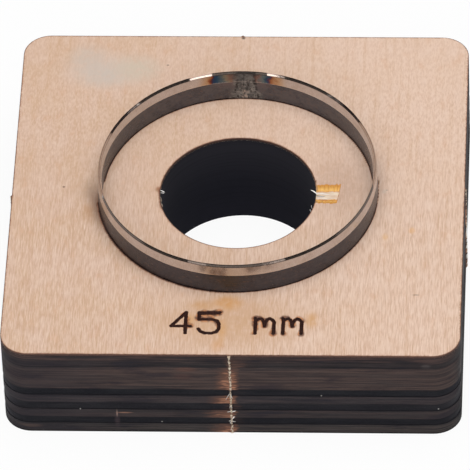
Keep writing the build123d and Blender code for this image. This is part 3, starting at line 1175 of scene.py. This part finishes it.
def oxide_steel():
    """Blackened, lightly rubbed body of the rule, with the grey weld at the back and a dark band of painted
    shade and soot at its foot.
    """
    g = Graph("rule_body")
    haze = g.noise((0.5, 0.5, 0.9))
    brush = g.noise((0.6, 0.6, 14), 5)
    blooms = g.noise((1.6, 1.6, 2.4), 41, roughness=0.65)
    beside = g.y.between(19.0, 20.5) * abs(g.x).between(5.5, 3.0, 0, 0.5)
    weld = weld_zone(g, haze)
    metal, flecks = weld_metal(g)
    foot = g.z + blooms.between(0.4, 0.6, -0.08, 0.08)
    steel = g.coats(
        (88, 91, 101),
        ((haze, 0.3, 0.7), (103, 104, 111)),
        ((g.y, 16.0, 2.0, 0.8), (78, 79, 88)),
        ((brush, 0.5, 0.75, 0.3), (132, 122, 118)),
        ((blooms, 0.52, 0.68, 0.4), (70, 72, 80)),
        ((blooms, 0.44, 0.32, 0.35), (122, 102, 92)),
        (beside * g.z.between(FLANK_Z - 1.6, FLANK_Z), (122, 112, 116)),
        (weld, metal),
        # Painted shade with soot: a dark band where the rule goes into the kerf
        ((foot, TOP_Z + 0.18, TOP_Z + 0.05, 0.85), (30, 24, 24)),
    )
    g.bump(brush + weld * flecks, 0.02, 0.6)
    return g.finish(steel, haze.between(0.3, 0.7, 0.24, 0.38) + weld * 0.15, metallic=1.0)


# Heat colours over the ground flank at the weld, by x in millimetres
HEAT_HALF_WIDTH = 8.0
HEAT_TINTS = (
    (-8.0, (198, 192, 186)), (-6.1, (190, 164, 134)), (-5.3, (150, 92, 62)), (-4.85, (92, 58, 60)),
    (-4.55, (52, 68, 104)), (-3.9, (50, 82, 114)), (-3.2, (92, 110, 120)), (-2.6, (132, 132, 122)),
    (-2.0, (134, 112, 104)), (-1.5, (104, 98, 102)), (0.1, (112, 116, 118)), (1.7, (100, 98, 102)),
    (2.2, (138, 106, 100)), (3.0, (104, 124, 134)), (4.0, (52, 82, 112)), (4.55, (92, 64, 88)),
    (5.0, (160, 112, 78)), (5.8, (194, 168, 138)), (6.8, (198, 188, 176)), (8.0, (198, 192, 186)),
)


def ground_steel():
    """Bright ground flanks with fine marks across them, heat colours beside the weld and a painted dark
    line of shade along their top.
    """
    g = Graph("rule_flank")
    marks = g.noise((9, 9, 0.7))
    haze = g.noise((0.7, 0.7, 0.9), 3, 2.0, 0.5)
    bent_x = g.x + haze.between(0.35, 0.65, -0.35, 0.35)
    stops = [(0.5 + 0.5 * x / HEAT_HALF_WIDTH, colour) for x, colour in HEAT_TINTS]
    tint = g.ramp(bent_x * (0.5 / HEAT_HALF_WIDTH) + 0.5, stops)
    metal, flecks = weld_metal(g)
    weld = weld_zone(g, haze)
    burr = (g.z + marks.between(0.4, 0.6, -0.05, 0.05)).between(FLANK_Z + 0.16, FLANK_Z + 0.04)
    steel = g.coats(
        (196, 194, 196),
        ((marks, 0.35, 0.65), (210, 209, 212)),
        ((haze, 0.45, 0.75, 0.3), (172, 162, 156)),
        (g.y.between(19.0, 20.5) * abs(g.x).between(7.8, 6.0), tint),
        (weld * 0.75, metal),
        (burr * 0.35, (226, 222, 218)),
        # Painted shade: a dark line along the top of the flank, under the bevel
        ((g.z, TIP_Z - 0.09, TIP_Z - 0.02, 0.75), (84, 74, 72)),
    )
    g.bump(marks + weld * (flecks * 3.0), 0.002, 0.6)
    return g.finish(steel, marks.between(0.3, 0.7, 0.19, 0.26) + weld * 0.25, metallic=1.0)


def honed_edge():
    """Polished bevel at the very edge, with painted shade along its top and bottom."""
    g = Graph("rule_edge")
    marks = g.noise((5, 5, 2), detail=2.0)
    nicks = g.noise((1.3, 1.3, 0.5), 21, roughness=0.7)
    weld = weld_zone(g, nicks)
    steel = g.coats(
        (186, 178, 174),
        ((marks, 0.35, 0.65), (206, 200, 196)),
        ((nicks, 0.55, 0.7, 0.5), (120, 114, 112)),
        (weld * 0.85, (58, 55, 55)),
        # Painted shade: darker bands along the bevel's top and bottom, where a rounded bevel would turn
        # away from the light
        ((g.z, RULE_TOP_Z - 0.18, RULE_TOP_Z - 0.11, 0.85), (112, 102, 98)),
        ((g.z, TIP_Z + 0.09, TIP_Z + 0.03, 0.85), (112, 102, 98)),
    )
    return g.finish(steel, marks.between(0.3, 0.7, 0.03, 0.07) + weld * 0.12, metallic=1.0)


def paint_core_plies():
    """Charred wood on every core ply and on the back, by the way each one's grain runs."""
    for name, (*tones, glow_strength, glow_reach) in PLY_TONES.items():
        materials = frame["nodes"][name].data.materials
        materials.clear()
        materials.append(charred_ply(name, tones, glow_strength, glow_reach))


# Light, floor and camera

def make_world():
    """A plain dim light all round, which shows white to the camera."""
    world = bpy.data.worlds.new("studio")
    bpy.context.scene.world = world
    tree = Tree(world, "ShaderNodeOutputWorld")
    strength = tree.add("MapRange", {"Value": tree.screen_share(), "To Min": WORLD_STRENGTH, "To Max": 1.0})
    tree.show(tree.add("Background", {"Color": (1, 1, 1, 1), "Strength": strength}))


def stage_mesh(name, vertices, faces):
    """An object that is no part of the die, and the emptied node tree of its material."""
    mesh = bpy.data.meshes.new(name)
    mesh.from_pydata(vertices, [], faces)
    material = bpy.data.materials.new(name)
    mesh.materials.append(material)
    stage = bpy.data.objects.new(name, mesh)
    bpy.context.scene.collection.objects.link(stage)
    return stage, Tree(material, "ShaderNodeOutputMaterial")


def make_floor():
    """A pale floor that takes the block's shadow and shows white to the camera."""
    size = FLOOR_HALF_SIDE
    corners = [(-size, -size, 0), (size, -size, 0), (size, size, 0), (-size, size, 0)]
    floor, tree = stage_mesh("floor", corners, [(0, 1, 2, 3)])
    floor.location.z = -FLOOR_DROP
    paper = tree.add("BsdfDiffuse", {"Color": (0.95, 0.95, 0.95, 1)})
    white = tree.add("Emission", {"Color": (1, 1, 1, 1), "Strength": 1.0})
    share = tree.screen_share() * FLOOR_LIFT
    tree.show(tree.add("MixShader", {0: share, 1: paper, 2: white}))


def add_lamp(name, place, size, watts):
    """A soft square lamp that points at the middle of the block."""
    light = bpy.data.lights.new(name, "AREA")
    light.shape = "SQUARE"
    light.size = size
    light.energy = watts
    lamp = bpy.data.objects.new(name, light)
    lamp.location = place
    lamp.rotation_euler = (-Vector(place)).to_track_quat("-Z", "Y").to_euler()
    bpy.context.scene.collection.objects.link(lamp)


def add_card(name, distances, directions, heights, brightness):
    """A curved studio card that shows only in reflections."""
    vertices, faces = [], []
    for i in range(CARD_STEPS + 1):
        angle = math.radians(directions[0] + (directions[1] - directions[0]) * i / CARD_STEPS)
        vertices += [(distance * math.sin(angle), -distance * math.cos(angle), height)
                     for distance, height in zip(distances, heights)]
        if i:
            faces.append((2 * i - 2, 2 * i, 2 * i + 1, 2 * i - 1))
    card, tree = stage_mesh(name, vertices, faces)
    level = card.data.attributes.new("level", "FLOAT", "POINT")
    level.data.foreach_set("value", np.tile(np.array(brightness, np.float32), CARD_STEPS + 1))
    strength = tree.add("Attribute", {}, "Fac", attribute_name="level")
    tree.show(tree.add("Emission", {"Color": CARD_COLOUR, "Strength": strength}))
    card.visible_camera = False
    card.visible_diffuse = False
    card.visible_shadow = False
    card.visible_transmission = False


def make_camera():
    """The photograph's viewpoint."""
    data = bpy.data.cameras.new("camera")
    data.sensor_width = SENSOR_WIDTH
    data.lens = CAMERA_LENS
    data.clip_start = 0.05
    data.clip_end = 20
    camera = bpy.data.objects.new("camera", data)
    camera.matrix_world = Matrix.Translation(Vector(CAMERA_TARGET) * MM)
    for axis, angle in (("Z", CAMERA_AZIMUTH), ("X", 90 - CAMERA_ELEVATION), ("Z", CAMERA_ROLL)):
        camera.matrix_world @= Matrix.Rotation(math.radians(angle), 4, axis)
    camera.matrix_world @= Matrix.Translation((0, 0, CAMERA_DISTANCE * MM))
    bpy.context.scene.collection.objects.link(camera)
    bpy.context.scene.camera = camera


make_face_veneer(face_wood())
make_cutting_rule(oxide_steel(), ground_steel(), honed_edge())
torn_fibres = fresh_wood()
make_chip_fibres(torn_fibres)
make_splinters(torn_fibres)
make_nick_fibres(torn_fibres)
paint_core_plies()
make_world()
make_floor()
for lamp_name, lamp_values in LAMPS.items():
    add_lamp(lamp_name, *lamp_values)
for card_name, card_values in CARDS.items():
    add_card(card_name, *card_values)
make_camera()
bpy.context.scene.view_settings.view_transform = "Standard"
